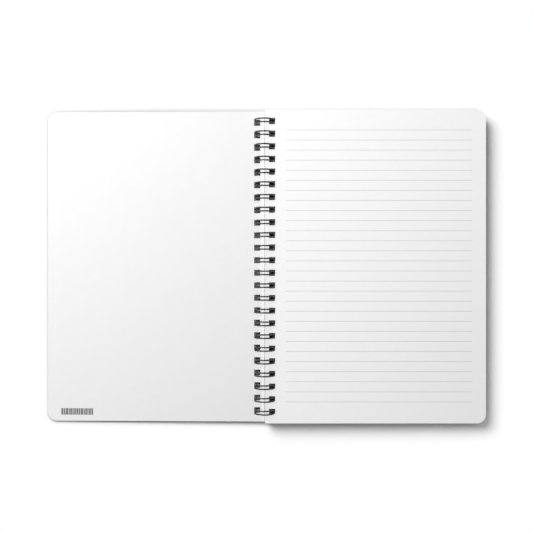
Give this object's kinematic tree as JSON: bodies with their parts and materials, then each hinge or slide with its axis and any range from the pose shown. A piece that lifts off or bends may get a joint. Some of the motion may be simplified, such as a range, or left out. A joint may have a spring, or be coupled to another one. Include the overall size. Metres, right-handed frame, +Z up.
{
  "type": "open spiral notebook",
  "caption": "Wire-bound A5 notebook lying open at its first ruled page: thin card covers, a block of sheets with rounded outer corners, and a black twin-loop wire along the spine.",
  "frame": {"origin": "on the table, under the axis of the wire rings, half way up the page", "axes": "+X from the spine across the page, +Y up the page, +Z up from the table"},
  "size_m": [0.2958, 0.21, 0.0143],
  "materials": {
    "front_card": "satin",
    "ruled_paper": "matte",
    "back_card": "satin",
    "coated_wire": "gloss"
  },
  "bodies": {
    "back": {"back_cover": "back_card", "wire_binding": "coated_wire"},
    "front": {"front_cover": "front_card"},
    "pages": {"page_block": "ruled_paper"}
  },
  "joints": [
    {"name": "front_cover_turn", "type": "hinge", "parent": "back", "child": "front", "pos_m": [0, 0, 0.00715], "axis": [0, 1, 0], "range_deg": [0, 181.13]},
    {"name": "page_turn", "type": "hinge", "parent": "back", "child": "pages", "pos_m": [0, 0, 0.00715], "axis": [0, -1, 0], "range_deg": [0, 181.13]}
  ]
}
